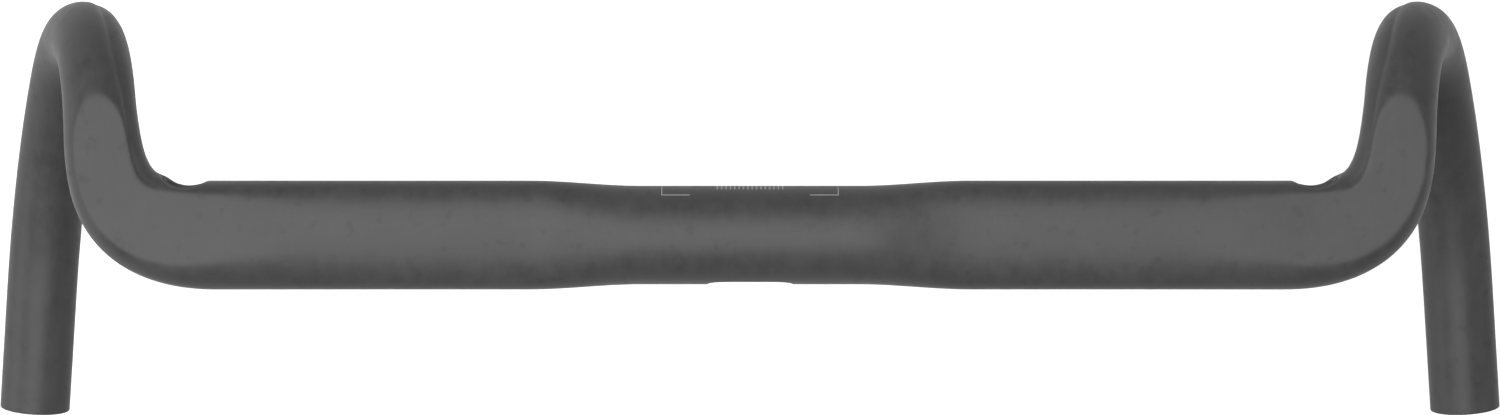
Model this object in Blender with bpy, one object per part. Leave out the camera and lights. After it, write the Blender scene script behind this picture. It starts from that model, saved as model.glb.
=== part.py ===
"""Drop handlebar: a moulded, hollow carbon bar with flattened tops, a 31.8 mm clamp zone and flared drops.

The bar is three shells bonded over internal sleeves. Hoses enter it by an oval port in the front edge of
each hand rest, run inside the tops in guides, and leave by a window at the rear of the clamp zone, into the
stem.
An expanding plug closes each end: its screw draws a wedge nut into a split sleeve, which grips the bore.

Frame: the origin is the centre of the clamp zone, +X is the rider's right, +Y is forward and +Z is up.
Lengths below are in millimetres, and are turned to metres where a mesh is made.
"""

import math

import bpy
import numpy as np

MM = 0.001
GAP = 0.3  # clearance between pieces that touch

# The centreline of the right half, measured along it from the middle of the bar.
TOP_LENGTH = 191.3  # straight length up to the hand rest's bend
BEND_RADIUS = 15.6  # the bend from the tops to the ramps, before it is eased
BEND_TURN = math.radians(91.9)
BEND_EASE = 35.3  # length over which each end of the bend is eased in
HOOK_RADIUS = 45.9
HOOK_TURN = math.radians(132.8)
DROP_RADIUS = 131.0  # the gentler curve below the hook
DROP_TURN = math.radians(37.2)
HOOK_EASE = 12.0
END_LENGTH = 40.3  # straight length at the bar's end
FLARE = math.radians(15.0)  # outward lean of the hook's plane

# The cross-section: half-sizes from its centre, in the clamp zone, the flattened tops and the round drops.
CLAMP_RADIUS = 15.9
CLAMP_HALF_LENGTH = 35.5
WING_START = 71.0
WING_HALF_DEPTH = 17.58
WING_HALF_HEIGHT = 11.0
WING_EXPONENT = 2.25  # 2 is an ellipse, and more is squarer
WING_TILT = math.radians(6.0)  # the rear edge is lower than the front one
TUBE_RADIUS = 11.8
REAR_TAPER = (172.0, 222.5)  # where the rear, then outer, side narrows from wing to tube
FRONT_TAPER = (192.8, 243.4)

# The hand rest: the upper side bulges round the bend, and a plane that falls forward cuts it flat.
REST_RISE = 2.0
REST_RISES = (125.0, 190.0)
REST_SINKS = (222.0, 246.0)
REST_HEIGHT = 11.1
REST_SLOPE = 0.118  # fall of the plane for each millimetre forward
REST_TURN = 8.0  # how softly the level rear of the plane turns into its fall
REST_BEGINS = (105.0, 190.0)
REST_CLEARANCE = 1.5  # how far above the tops the plane starts
REST_SOFTNESS = 0.35  # how softly the plane's edge is rounded

# The shells' wall.
WALL = 2.0
BORE_RADIUS = TUBE_RADIUS - WALL

# The bonded joints and the clamp zone's inner ring.
JOINT_AT = 250.0
SLEEVE_HALF_LENGTH = 20.0
SLEEVE_WALL = 1.5
SLEEVE_GAP = 0.6  # room for the adhesive, where the bore changes shape
RING_HALF_LENGTH = 30.0
RING_WALL = 1.6

# Hose routing.
PORT_X = 182.4
PORT_Z = 1.6  # the wing's tilt raises its front edge
PORT_HALF_WIDTH = 7.0
PORT_HALF_HEIGHT = 5.9
PORT_RECESS = 1.0  # how far the port's rim lies under the surface
WINDOW_HALF_WIDTH = 13.4
WINDOW_TOP = 4.5
WINDOW_BOTTOM = -10.0
WINDOW_CORNER = 3.5
WINDOW_RECESS = 0.8
PORT_CUT = (9.0, 26.0)  # from y to y, through the front wall only
WINDOW_CUT = (-22.0, -4.0)
RIM_WALL = 1.1
RIM_DEPTH = 4.2
GUIDE_RADIUS = 3.4
GUIDE_WALL = 0.7

# End plug, measured inwards along the bore from the bar's end face.
CAP = (0.3, 5.3)
CAP_RADIUS = BORE_RADIUS - GAP
COUNTERBORE_RADIUS = 4.7
COUNTERBORE_DEPTH = 3.6
EXPANDER = (5.6, 21.6)
EXPANDER_THROAT = 5.5
EXPANDER_MOUTH = 8.0
EXPANDER_TAPER_AT = 13.0
SLOT_ANGLE = math.radians(24)
WEDGE = (14.0, 25.0)
KEY = (14.6, 24.4)  # the nut's key, which slides in the expander's slot
KEY_RADII = (4.0, 8.9)
KEY_WIDTH = 1.6
SCREW = (0.8, 31.0)
SCREW_HEAD_LENGTH = 2.8
SCREW_HEAD_RADIUS = 4.2
SCREW_RADIUS = 2.5
SCREW_HOLE = 2.9
SOCKET_RADIUS = 2.3

# How finely the round shapes are divided.
SIDES = 24
SMALL_SIDES = 16

CARBON = ((0.105, 0.106, 0.108), 0.42, 0.0)
LAMINATE = ((0.045, 0.045, 0.047), 0.55, 0.0)
RUBBER = ((0.020, 0.020, 0.021), 0.75, 0.0)
NYLON = ((0.030, 0.030, 0.032), 0.50, 0.0)
GUIDE_NYLON = ((0.30, 0.30, 0.29), 0.45, 0.0)
STEEL = ((0.42, 0.42, 0.43), 0.30, 1.0)
ALUMINIUM = ((0.52, 0.52, 0.53), 0.38, 1.0)


# ---------------------------------------------------------------- the centreline


def smooth(start, end, x):
    """0 before start, 1 after end, and a smooth S between them."""
    t = np.clip((x - start) / (end - start), 0.0, 1.0)
    return t * t * (3 - 2 * t)


def eased(x, ease):
    """x where it is positive, 0 where it is negative, joined by a parabola of the length ease."""
    return np.where(x < -ease / 2, 0.0, np.where(x > ease / 2, x, (x + ease / 2) ** 2 / (2 * ease)))


def turned(s, start, length, turn, ease):
    """The angle that an arc of this length and turn has reached at s, eased at both ends."""
    return turn / length * (eased(s - start, ease) - eased(s - start - length, ease))


BEND_LENGTH = BEND_RADIUS * BEND_TURN
HOOK_START = TOP_LENGTH + BEND_LENGTH
HOOK_LENGTH = HOOK_RADIUS * HOOK_TURN
DROP_START = HOOK_START + HOOK_LENGTH
DROP_LENGTH = DROP_RADIUS * DROP_TURN
HALF_LENGTH = DROP_START + DROP_LENGTH + END_LENGTH


def directions(s):
    """The bar's direction at s, with the plane it hooks in: heading, downward direction and hook angle."""
    yaw = turned(s, TOP_LENGTH, BEND_LENGTH, BEND_TURN, BEND_EASE)
    hook = turned(s, HOOK_START, HOOK_LENGTH, HOOK_TURN, HOOK_EASE)
    hook = hook + turned(s, DROP_START, DROP_LENGTH, DROP_TURN, HOOK_EASE)
    heading = np.stack([np.cos(yaw), np.sin(yaw), 0 * yaw], axis=-1)
    lean = math.sin(FLARE)
    down = np.stack([lean * np.sin(yaw), -lean * np.cos(yaw), 0 * yaw - math.cos(FLARE)], axis=-1)
    tangent = heading * np.cos(hook)[..., None] + down * np.sin(hook)[..., None]
    raised = heading * np.sin(hook)[..., None] - down * np.cos(hook)[..., None]
    return tangent, raised


FINE_S = np.linspace(0.0, HALF_LENGTH, 4001)
FINE_TANGENT = directions(FINE_S)[0]
STEPS = (FINE_TANGENT[1:] + FINE_TANGENT[:-1]) / 2 * (FINE_S[1] - FINE_S[0])
FINE_POINT = np.concatenate([np.zeros((1, 3)), np.cumsum(STEPS, axis=0)])


def station(s):
    """Centre, direction, and the section's outward and upward axes at distances s along the right half."""
    centre = np.stack([np.interp(s, FINE_S, FINE_POINT[:, i]) for i in range(3)], axis=-1)
    tangent, raised = directions(s)
    side = np.cross(tangent, raised)
    untwist = FLARE * (1 - smooth(*REAR_TAPER, s))[..., None]
    up = raised * np.cos(untwist) + side * np.sin(untwist)
    outward = side * np.cos(untwist) - raised * np.sin(untwist)
    return centre, tangent, outward, up


# ---------------------------------------------------------------- the cross-section


def section(s, inset, sides=SIDES):
    """Rings of points around the bar at distances s, inset under its outer surface."""
    wing = smooth(CLAMP_HALF_LENGTH, WING_START, s)
    rear = CLAMP_RADIUS + (WING_HALF_DEPTH - CLAMP_RADIUS) * wing
    height = CLAMP_RADIUS + (WING_HALF_HEIGHT - CLAMP_RADIUS) * wing
    front_to_tube = smooth(*FRONT_TAPER, s)
    rear_to_tube = smooth(*REAR_TAPER, s)
    front = rear + (TUBE_RADIUS - rear) * front_to_tube
    rear = rear + (TUBE_RADIUS - rear) * rear_to_tube
    height = height + (TUBE_RADIUS - height) * front_to_tube
    rise = REST_RISE * smooth(*REST_RISES, s) * (1 - smooth(*REST_SINKS, s))
    power = 2 / (2 + (WING_EXPONENT - 2) * wing * (1 - front_to_tube))
    tilt = WING_TILT * wing * (1 - rear_to_tube)

    angle = np.linspace(0, 2 * math.pi, sides, endpoint=False)
    cos, sin = np.cos(angle), np.sin(angle)
    reach = np.where(cos > 0, rear[:, None], front[:, None]) - inset
    across = reach * np.sign(cos) * np.abs(cos) ** power[:, None]
    tall = height[:, None] + np.where(sin > 0, rise[:, None], 0.0) - inset
    along = tall * np.sign(sin) * np.abs(sin) ** power[:, None]
    turned_across = across * np.cos(tilt)[:, None] + along * np.sin(tilt)[:, None]
    turned_along = along * np.cos(tilt)[:, None] - across * np.sin(tilt)[:, None]
    centre, _, outward, up = station(s)
    rings = centre[:, None] + turned_across[..., None] * outward[:, None]
    rings = rings + turned_along[..., None] * up[:, None]
    return flattened(rings, s[:, None], inset)


def flattened(points, s, inset):
    """Lowers the points that stand above the hand rest's plane onto it, with a rounded edge."""
    present = smooth(*REST_BEGINS, s)
    ahead = REST_TURN * np.logaddexp(0.0, points[..., 1] / REST_TURN)
    plane = REST_HEIGHT - REST_SLOPE * ahead - inset
    over = points[..., 2] - plane - REST_CLEARANCE * (1 - present)
    lowered = REST_SOFTNESS * np.logaddexp(0.0, over / REST_SOFTNESS)
    return points - np.stack([0 * over, 0 * over, lowered * present], axis=-1)


def mirrored(points, side):
    """Points in millimetres for the right side (+1), or mirrored for the left side (-1)."""
    return points * np.array([side, 1.0, 1.0])


# ---------------------------------------------------------------- meshes


def material(name, look):
    colour, roughness, metallic = look
    made = bpy.data.materials.new(name)
    made.use_nodes = True
    shader = made.node_tree.nodes["Principled BSDF"]
    shader.inputs["Base Color"].default_value = (*colour, 1.0)
    shader.inputs["Roughness"].default_value = roughness
    shader.inputs["Metallic"].default_value = metallic
    return made


def add_object(name, points, faces, look, origin=(0.0, 0.0, 0.0)):
    """A named object from points in millimetres, with its own material and its origin at a given point."""
    mesh = bpy.data.meshes.new(name)
    origin = np.asarray(origin, float)
    mesh.from_pydata(((np.asarray(points) - origin) * MM).tolist(), [], faces)
    mesh.validate()
    mesh.shade_smooth()
    mesh.set_sharp_from_angle(angle=math.radians(35))
    mesh.materials.append(material(name, look))
    made = bpy.data.objects.new(name, mesh)
    made.location = (origin * MM).tolist()
    bpy.context.scene.collection.objects.link(made)
    return made


def grid_faces(rows, columns, first=0, flip=False):
    """Quads between rings of points, where each ring closes on itself."""
    faces = []
    for row in range(rows - 1):
        for column in range(columns):
            a = first + row * columns + column
            b = first + row * columns + (column + 1) % columns
            face = (a, b, b + columns, a + columns)
            faces.append(face[::-1] if flip else face)
    return faces


def ring_faces(outer_first, inner_first, columns, flip=False):
    """Quads that join the ring of an outer skin to the ring of an inner one."""
    faces = []
    for column in range(columns):
        after = (column + 1) % columns
        face = (outer_first + column, inner_first + column, inner_first + after, outer_first + after)
        faces.append(face[::-1] if flip else face)
    return faces


def tube(name, outer, inner, look, side=1):
    """A tube with open ends from matching rings of its outer and inner skins."""
    rows, columns = outer.shape[:2]
    count = rows * columns
    last = count - columns
    points = np.concatenate([outer.reshape(-1, 3), inner.reshape(-1, 3)])
    flip = side > 0
    faces = grid_faces(rows, columns, 0, flip)
    faces += grid_faces(rows, columns, count, not flip)
    faces += ring_faces(0, count, columns, flip)
    faces += ring_faces(last, count + last, columns, not flip)
    return add_object(name, mirrored(points, side), faces, look)


def cut(target, points, faces, name):
    """Cuts a hidden solid out of the target with a Boolean modifier."""
    cutter = add_object(name, points, faces, NYLON)
    cutter.hide_render = True
    cutter.display_type = "WIRE"
    modifier = target.modifiers.new(name, "BOOLEAN")
    modifier.operation = "DIFFERENCE"
    modifier.object = cutter
    modifier.solver = "EXACT"
    return cutter


def prism(outline, start, end):
    """A closed prism along Y from an outline of (x, z) points that runs clockwise as seen from +Y."""
    count = len(outline)
    points = [(x, y, z) for y in (start, end) for x, z in outline]
    faces = grid_faces(2, count)
    faces.append(tuple(range(count))[::-1])
    faces.append(tuple(range(count, 2 * count)))
    return np.array(points), [face[::-1] for face in faces]


# ---------------------------------------------------------------- outlines of the openings


def port_outline(grow, sides=SIDES):
    """The hose port's oval, as (x, z) points round its own centre."""
    angle = np.linspace(0, 2 * math.pi, sides, endpoint=False)
    half_width, half_height = PORT_HALF_WIDTH + grow, PORT_HALF_HEIGHT + grow
    return np.stack([half_width * np.cos(angle), half_height * np.sin(angle)], -1)


def window_outline(grow, corner_points=5):
    """The window's rounded rectangle, as (x, z) points in the frame."""
    middle = (WINDOW_TOP + WINDOW_BOTTOM) / 2
    half_height = (WINDOW_TOP - WINDOW_BOTTOM) / 2
    radius = WINDOW_CORNER + grow
    outline = []
    for quarter, (right, upper) in enumerate(((1, 1), (-1, 1), (-1, -1), (1, -1))):
        for step in np.linspace(0, math.pi / 2, corner_points):
            angle = quarter * math.pi / 2 + step
            x = right * (WINDOW_HALF_WIDTH - WINDOW_CORNER) + radius * math.cos(angle)
            z = middle + upper * (half_height - WINDOW_CORNER) + radius * math.sin(angle)
            outline.append((x, z))
    return np.array(outline)


def front_surface(x, z, inset):
    """How far forward the wing's surface lies at the height z, next to the port at x."""
    height = np.abs(z - PORT_Z) / (WING_HALF_HEIGHT - inset)
    depth = (WING_HALF_DEPTH - inset) * (1 - height**WING_EXPONENT) ** (1 / WING_EXPONENT)
    centre = np.interp(x, FINE_POINT[:, 0], FINE_POINT[:, 1])
    return centre + depth


def rear_surface(z, inset):
    """How far back the clamp zone's surface lies at the height z, as a negative y."""
    return -np.sqrt((CLAMP_RADIUS - inset) ** 2 - z**2)


# ---------------------------------------------------------------- the bar's shells


def top_stations():
    """Distances of the centre shell's sections: close together where its shape changes."""
    half = np.concatenate([
        np.linspace(0, CLAMP_HALF_LENGTH, 3)[:-1],
        np.linspace(CLAMP_HALF_LENGTH, WING_START, 6)[:-1],
        np.linspace(WING_START, REAR_TAPER[0], 4)[:-1],
        np.linspace(REAR_TAPER[0], JOINT_AT, 13),
    ])
    return half


def both_halves(s, inset):
    """Sections of the whole centre shell, from its left end to its right one."""
    right = section(s, inset)
    left = mirrored(right[:0:-1], -1)
    return np.concatenate([left, right])


def add_top_section():
    s = top_stations()
    shell = tube("top_section", both_halves(s, 0.0), both_halves(s, WALL), CARBON)
    for side, word in ((-1, "left"), (1, "right")):
        outline = port_outline(0.0) + np.array([side * PORT_X, PORT_Z])
        points, faces = prism(outline, *PORT_CUT)
        cut(shell, points, faces, f"{word}_port_cutter")
    points, faces = prism(window_outline(0.0), *WINDOW_CUT)
    cut(shell, points, faces, "window_cutter")


def add_drop_section(side, word):
    curved = np.linspace(JOINT_AT + GAP, HALF_LENGTH - END_LENGTH + HOOK_EASE / 2, 19)
    s = np.concatenate([curved, [HALF_LENGTH]])
    tube(f"{word}_drop_section", section(s, 0.0), section(s, WALL), CARBON, side)


def add_joint_sleeve(side, word):
    s = np.linspace(JOINT_AT - SLEEVE_HALF_LENGTH, JOINT_AT + SLEEVE_HALF_LENGTH, 9)
    inset = WALL + SLEEVE_GAP
    outer = section(s, inset)
    inner = section(s, inset + SLEEVE_WALL)
    tube(f"{word}_joint_sleeve", outer, inner, LAMINATE, side)


def add_clamp_ring():
    s = np.array([0.0, RING_HALF_LENGTH / 2, RING_HALF_LENGTH])
    inset = WALL + GAP
    ring = tube("clamp_ring", both_halves(s, inset), both_halves(s, inset + RING_WALL), LAMINATE)
    points, faces = prism(window_outline(0.2), *WINDOW_CUT)
    cut(ring, points, faces, "ring_window_cutter")


# ---------------------------------------------------------------- hose routing


def rim(name, outer, inner, front, back):
    """A rim between two (x, z) outlines, from the front depth to the back one, both functions of (x, z)."""
    count = len(outer)
    loops = []
    for outline, depth in ((outer, front), (outer, back), (inner, back), (inner, front)):
        loops.append([(x, depth(x, z), z) for x, z in outline])
    points = np.array(loops).reshape(-1, 3)
    faces = []
    for loop in range(4):
        for column in range(count):
            after = (column + 1) % count
            following = (loop + 1) % 4
            faces.append((
                loop * count + column,
                following * count + column,
                following * count + after,
                loop * count + after,
            ))
    return points, faces


def add_port_rim(side, word):
    place = np.array([PORT_X, PORT_Z])
    outer = port_outline(-GAP) + place
    inner = port_outline(-GAP - RIM_WALL) + place
    points, faces = rim(
        word,
        outer,
        inner,
        lambda x, z: front_surface(x, z, 0.0) - PORT_RECESS,
        lambda x, z: front_surface(x, z, 0.0) - RIM_DEPTH,
    )
    if side > 0:
        faces = [face[::-1] for face in faces]
    add_object(f"{word}_hose_port_rim", mirrored(points, side), faces, RUBBER)


def add_window_rim():
    points, faces = rim(
        "window",
        window_outline(-GAP),
        window_outline(-GAP - RIM_WALL),
        lambda x, z: rear_surface(z, WINDOW_RECESS),
        lambda x, z: rear_surface(z, 0.0) + RIM_DEPTH + 1.0,
    )
    add_object("centre_window_rim", points, faces, RUBBER)


def bezier(points, count):
    """Points along a cubic Bezier curve."""
    a, b, c, d = (np.array(point, float) for point in points)
    t = np.linspace(0, 1, count)[:, None]
    return a * (1 - t) ** 3 + 3 * b * t * (1 - t) ** 2 + 3 * c * t**2 * (1 - t) + d * t**3


def guide_path():
    """The right hose guide's centreline: in by the port, along the wing, and out at the window."""
    entry = bezier([(180.5, 9.3, PORT_Z), (170, 2.0, PORT_Z), (160, 0.0, 0.0), (140, 0.0, 0.0)], 7)
    run = np.array([[100.0, 0.0, 0.0], [60.0, 0.0, 0.0]])
    leave = bezier([(40, 0.0, -0.5), (22, 0.0, -1.5), (10, 0.0, -2.7), (6.6, -8.0, -2.75)], 7)
    return np.concatenate([entry, run, leave])


def round_rings(path, radius, sides):
    """Round rings square to a path that never runs straight up."""
    tangent = np.gradient(path, axis=0)
    tangent /= np.linalg.norm(tangent, axis=1)[:, None]
    across = np.cross(tangent, [0.0, 0.0, 1.0])
    across /= np.linalg.norm(across, axis=1)[:, None]
    up = np.cross(across, tangent)
    angle = np.linspace(0, 2 * math.pi, sides, endpoint=False)[None, :, None]
    return path[:, None] + radius * (across[:, None] * np.cos(angle) + up[:, None] * np.sin(angle))


def add_hose_guide(side, word):
    path = guide_path()
    outer = round_rings(path, GUIDE_RADIUS, 10)
    inner = round_rings(path, GUIDE_RADIUS - GUIDE_WALL, 10)
    tube(f"{word}_hose_guide", outer, inner, GUIDE_NYLON, side)


# ---------------------------------------------------------------- the end plugs


def end_axes(side):
    """The bar's end point, with its outward direction and two directions across it."""
    centre, tangent, outward, _ = station(np.array([HALF_LENGTH]))
    centre = mirrored(centre[0], side)
    out = mirrored(tangent[0], side)
    across = mirrored(outward[0], side)
    return centre, out, across, np.cross(out, across)


def turned_shape(name, profile, side, look, sides=SMALL_SIDES, slot=0.0):
    """Turns a closed profile of (radius, depth) points round the bore's axis, wholly or leaving a slot."""
    centre, out, across, up = end_axes(side)
    columns = sides if slot == 0.0 else sides + 1
    angle = slot / 2 + (2 * math.pi - slot) * np.arange(columns) / sides
    radial = across * np.cos(angle)[:, None] + up * np.sin(angle)[:, None]
    rings = [centre - out * depth + radial * radius for radius, depth in profile]
    points = np.concatenate(rings)
    faces = []
    for row in range(len(profile)):
        following = (row + 1) % len(profile)
        for column in range(sides):
            after = (column + 1) % columns
            corners = (row * columns + column, row * columns + after)
            others = (following * columns + after, following * columns + column)
            face = corners + others
            faces.append(face)
    if slot:
        start = tuple(row * columns for row in range(len(profile)))
        faces.append(start)
        faces.append(tuple(index + sides for index in start)[::-1])
    return add_object(name, points, faces, look, centre)


def solid_turned(name, profile, side, look, sides=SMALL_SIDES):
    """Turns a profile that starts and ends on the axis, closing it with a fan at each end."""
    centre, out, across, up = end_axes(side)
    angle = 2 * math.pi * np.arange(sides) / sides
    radial = across * np.cos(angle)[:, None] + up * np.sin(angle)[:, None]
    points = np.concatenate([centre - out * depth + radial * radius for radius, depth in profile])
    faces = [face[::-1] for face in grid_faces(len(profile), sides)]
    last = (len(profile) - 1) * sides
    faces.append(tuple(range(sides)))
    faces.append(tuple(range(last, last + sides))[::-1])
    return add_object(name, points, faces, look, centre)


def socket_cutter(name, side):
    """The six-sided socket in the screw's head."""
    profile = ((SOCKET_RADIUS, SCREW[0] - 1.0), (SOCKET_RADIUS, SCREW[0] + 2.0))
    cutter = solid_turned(name, profile, side, STEEL, 6)
    cutter.hide_render = True
    cutter.display_type = "WIRE"
    return cutter


def add_key(nut, name, side):
    """Joins a key to the wedge nut, so that the slot in the expander keeps it from turning."""
    centre, out, across, up = end_axes(side)
    points = [
        centre - out * depth + across * radius + up * width
        for depth in KEY
        for radius, width in (
            (KEY_RADII[0], -KEY_WIDTH / 2),
            (KEY_RADII[1], -KEY_WIDTH / 2),
            (KEY_RADII[1], KEY_WIDTH / 2),
            (KEY_RADII[0], KEY_WIDTH / 2),
        )
    ]
    faces = [face[::-1] for face in grid_faces(2, 4)] + [(0, 1, 2, 3), (7, 6, 5, 4)]
    key = add_object(name, points, faces, ALUMINIUM, centre)
    key.hide_render = True
    key.display_type = "WIRE"
    modifier = nut.modifiers.new("key", "BOOLEAN")
    modifier.operation = "UNION"
    modifier.object = key
    modifier.solver = "EXACT"


def add_end_plug(side, word):
    floor = CAP[0] + COUNTERBORE_DEPTH
    turned_shape(
        f"{word}_plug_cap",
        (
            (CAP_RADIUS, CAP[0]),
            (COUNTERBORE_RADIUS, CAP[0]),
            (COUNTERBORE_RADIUS, floor),
            (SCREW_HOLE, floor),
            (SCREW_HOLE, CAP[1]),
            (CAP_RADIUS, CAP[1]),
        ),
        side,
        NYLON,
        SIDES,
    )
    turned_shape(
        f"{word}_plug_expander",
        (
            (CAP_RADIUS, EXPANDER[0]),
            (EXPANDER_THROAT, EXPANDER[0]),
            (EXPANDER_THROAT, EXPANDER_TAPER_AT),
            (EXPANDER_MOUTH, EXPANDER[1]),
            (CAP_RADIUS, EXPANDER[1]),
        ),
        side,
        RUBBER,
        SIDES,
        SLOT_ANGLE,
    )
    slope = (EXPANDER_MOUTH - EXPANDER_THROAT) / (EXPANDER[1] - EXPANDER_TAPER_AT)
    wedge_depths = (WEDGE[0], EXPANDER[1])
    wedge_radius = [EXPANDER_THROAT + slope * (depth - EXPANDER_TAPER_AT) - GAP for depth in wedge_depths]
    nut = turned_shape(
        f"{word}_plug_wedge_nut",
        (
            (wedge_radius[0], WEDGE[0]),
            (SCREW_HOLE, WEDGE[0]),
            (SCREW_HOLE, WEDGE[1]),
            (wedge_radius[1], WEDGE[1]),
            (wedge_radius[1], EXPANDER[1]),
        ),
        side,
        ALUMINIUM,
    )
    add_key(nut, f"{word}_nut_key", side)
    head_end = SCREW[0] + SCREW_HEAD_LENGTH
    screw = solid_turned(
        f"{word}_plug_screw",
        (
            (SCREW_HEAD_RADIUS, SCREW[0]),
            (SCREW_HEAD_RADIUS, head_end),
            (SCREW_RADIUS, head_end),
            (SCREW_RADIUS, SCREW[1] - 1.0),
            (SCREW_RADIUS - 0.8, SCREW[1]),
        ),
        side,
        STEEL,
    )
    modifier = screw.modifiers.new("socket", "BOOLEAN")
    modifier.operation = "DIFFERENCE"
    modifier.object = socket_cutter(f"{word}_socket_cutter", side)
    modifier.solver = "EXACT"


# ---------------------------------------------------------------- assembly


def main():
    for leftover in list(bpy.data.objects):
        bpy.data.objects.remove(leftover)
    add_top_section()
    add_clamp_ring()
    add_window_rim()
    for side, word in ((-1, "left"), (1, "right")):
        add_drop_section(side, word)
        add_joint_sleeve(side, word)
        add_port_rim(side, word)
        add_hose_guide(side, word)
        add_end_plug(side, word)


main()
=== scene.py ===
# %% [markdown]
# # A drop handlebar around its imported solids
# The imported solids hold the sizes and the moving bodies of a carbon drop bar. This script gives them their looks:
# each shell gets a fine skin worked out with numpy, each small part a finer shape, and each finish is made of
# nodes.
# Lengths are in millimetres until a mesh is made, and the frame is the solids' own: +X is the rider's right,
# +Y is forward, +Z is up, and the origin is the centre of the clamp zone.

# %% Load the frame
import math

import bmesh
import bpy
import numpy as np
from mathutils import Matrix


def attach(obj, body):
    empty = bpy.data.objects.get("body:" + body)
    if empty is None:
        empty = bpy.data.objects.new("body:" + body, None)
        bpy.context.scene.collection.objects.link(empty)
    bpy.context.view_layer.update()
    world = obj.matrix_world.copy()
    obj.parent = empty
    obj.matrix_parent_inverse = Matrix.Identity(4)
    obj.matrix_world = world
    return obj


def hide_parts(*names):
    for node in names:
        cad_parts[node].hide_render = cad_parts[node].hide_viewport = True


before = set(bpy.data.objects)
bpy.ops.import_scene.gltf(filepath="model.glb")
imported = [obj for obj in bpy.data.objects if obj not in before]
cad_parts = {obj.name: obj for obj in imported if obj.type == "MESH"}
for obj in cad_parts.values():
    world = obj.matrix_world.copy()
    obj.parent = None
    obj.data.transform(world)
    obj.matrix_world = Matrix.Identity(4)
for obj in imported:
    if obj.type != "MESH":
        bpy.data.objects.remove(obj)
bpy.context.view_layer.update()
MM = 0.001
SIDES_OF_BAR = ((-1, "left"), (1, "right"))

# %% [markdown]
# ## The centreline
# A drop bar is bent in two ways: a corner turns the tops forward into the ramps, and a hook turns the ramps down
# and back into the drops. Points could be placed by hand and joined by a spline, but a spline's bends are never
# true arcs. Here the bar's direction is a function of the distance along it, made of arcs that are eased in and
# out, and its position is the running sum of that direction, as a bending machine would make it.

# %% The bends' sizes
TOP_LENGTH = 191.3
BEND_RADIUS, BEND_TURN, BEND_EASE = 15.6, math.radians(91.9), 35.3
HOOK_RADIUS, HOOK_TURN, HOOK_EASE = 45.9, math.radians(132.8), 12.0
DROP_RADIUS, DROP_TURN = 131.0, math.radians(37.2)
END_LENGTH = 40.3
FLARE = math.radians(15.0)
HOOK_START = TOP_LENGTH + BEND_RADIUS * BEND_TURN
DROP_START = HOOK_START + HOOK_RADIUS * HOOK_TURN
HALF_LENGTH = DROP_START + DROP_RADIUS * DROP_TURN + END_LENGTH
print(f"each half is {HALF_LENGTH:.1f} mm long")


# %% Its direction at a distance
def smooth(start, end, x):
    """0 before start, 1 after end, and between them three times the share squared less twice its cube."""
    share = np.clip((x - start) / (end - start), 0.0, 1.0)
    return share * share * (3 - 2 * share)


def eased(x, ease):
    """x where it is positive and 0 where it is negative, with a parabola of the length ease across the corner."""
    return np.where(x < -ease / 2, 0.0, np.where(x > ease / 2, x, (x + ease / 2) ** 2 / (2 * ease)))


def turned(s, start, radius, turn, ease):
    """The angle reached at s by an arc: the eased distance since its start, less that since its end, by radius."""
    return (eased(s - start, ease) - eased(s - start - radius * turn, ease)) / radius


def directions(s):
    """The direction at s, and the direction square to it in the hook's plane, which leans out by the flare."""
    yaw = turned(s, TOP_LENGTH, BEND_RADIUS, BEND_TURN, BEND_EASE)
    hook = turned(s, HOOK_START, HOOK_RADIUS, HOOK_TURN, HOOK_EASE)
    hook = hook + turned(s, DROP_START, DROP_RADIUS, DROP_TURN, HOOK_EASE)
    heading = np.stack([np.cos(yaw), np.sin(yaw), 0 * yaw], axis=-1)
    lean = math.sin(FLARE)
    down = np.stack([lean * np.sin(yaw), -lean * np.cos(yaw), 0 * yaw - math.cos(FLARE)], axis=-1)
    cos, sin = np.cos(hook)[..., None], np.sin(hook)[..., None]
    return heading * cos + down * sin, heading * sin - down * cos


fine_s = np.linspace(0.0, HALF_LENGTH, 4001)
fine_tangent = directions(fine_s)[0]
fine_steps = (fine_tangent[1:] + fine_tangent[:-1]) / 2 * (fine_s[1] - fine_s[0])
fine_point = np.concatenate([np.zeros((1, 3)), np.cumsum(fine_steps, axis=0)])
print("the right end's centre, mm:", np.round(fine_point[-1], 2))

# %% [markdown]
# ## The section
# The tube changes its shape along the way: 31.8 mm round at the clamp, a flat wing for the palms, and a slim
# round tube in the drops. Lofting a few drawn sections would do, but the pace between them is hard to steer.
# One formula for all of them, whose sizes change with the distance, gives a smooth skin of any fineness, and its
# inset gives the inner skin and the edges of the holes as well.

# %% The section's sizes
CLAMP_RADIUS, CLAMP_HALF = 15.9, 35.5
WING_START, WING_HALF_DEPTH, WING_HALF_HEIGHT = 71.0, 17.58, 11.0
WING_EXPONENT, WING_TILT = 2.25, math.radians(6.0)
TUBE_RADIUS = 11.8
REAR_TAPER, FRONT_TAPER = (172.0, 222.5), (192.8, 243.4)
WALL = 2.0
BORE = TUBE_RADIUS - WALL

# The hand rest: a bulge round the bend, cut flat by a plane that falls forward.
REST_RISE, REST_RISES, REST_SINKS = 2.0, (125.0, 190.0), (222.0, 246.0)
REST_HEIGHT, REST_SLOPE, REST_TURN, REST_BEGINS = 11.1, 0.118, 8.0, (105.0, 190.0)
REST_CLEARANCE, REST_SOFTNESS = 1.5, 0.35

# The channel where a hose lies under the tape: its depth and its reach on the crown's side and the inner side.
CHANNEL_DEPTH, CHANNEL_CROWN, CHANNEL_INNER = 0.9, 3.5, 5.0
CHANNEL_BEGINS, CHANNEL_FADES = (190.0, 212.0), (270.0, 298.0)
CHANNEL_TILTS = (math.radians(51.5), math.radians(33.5))
CHANNEL_CLIMBS = (232.0, 258.0)


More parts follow.
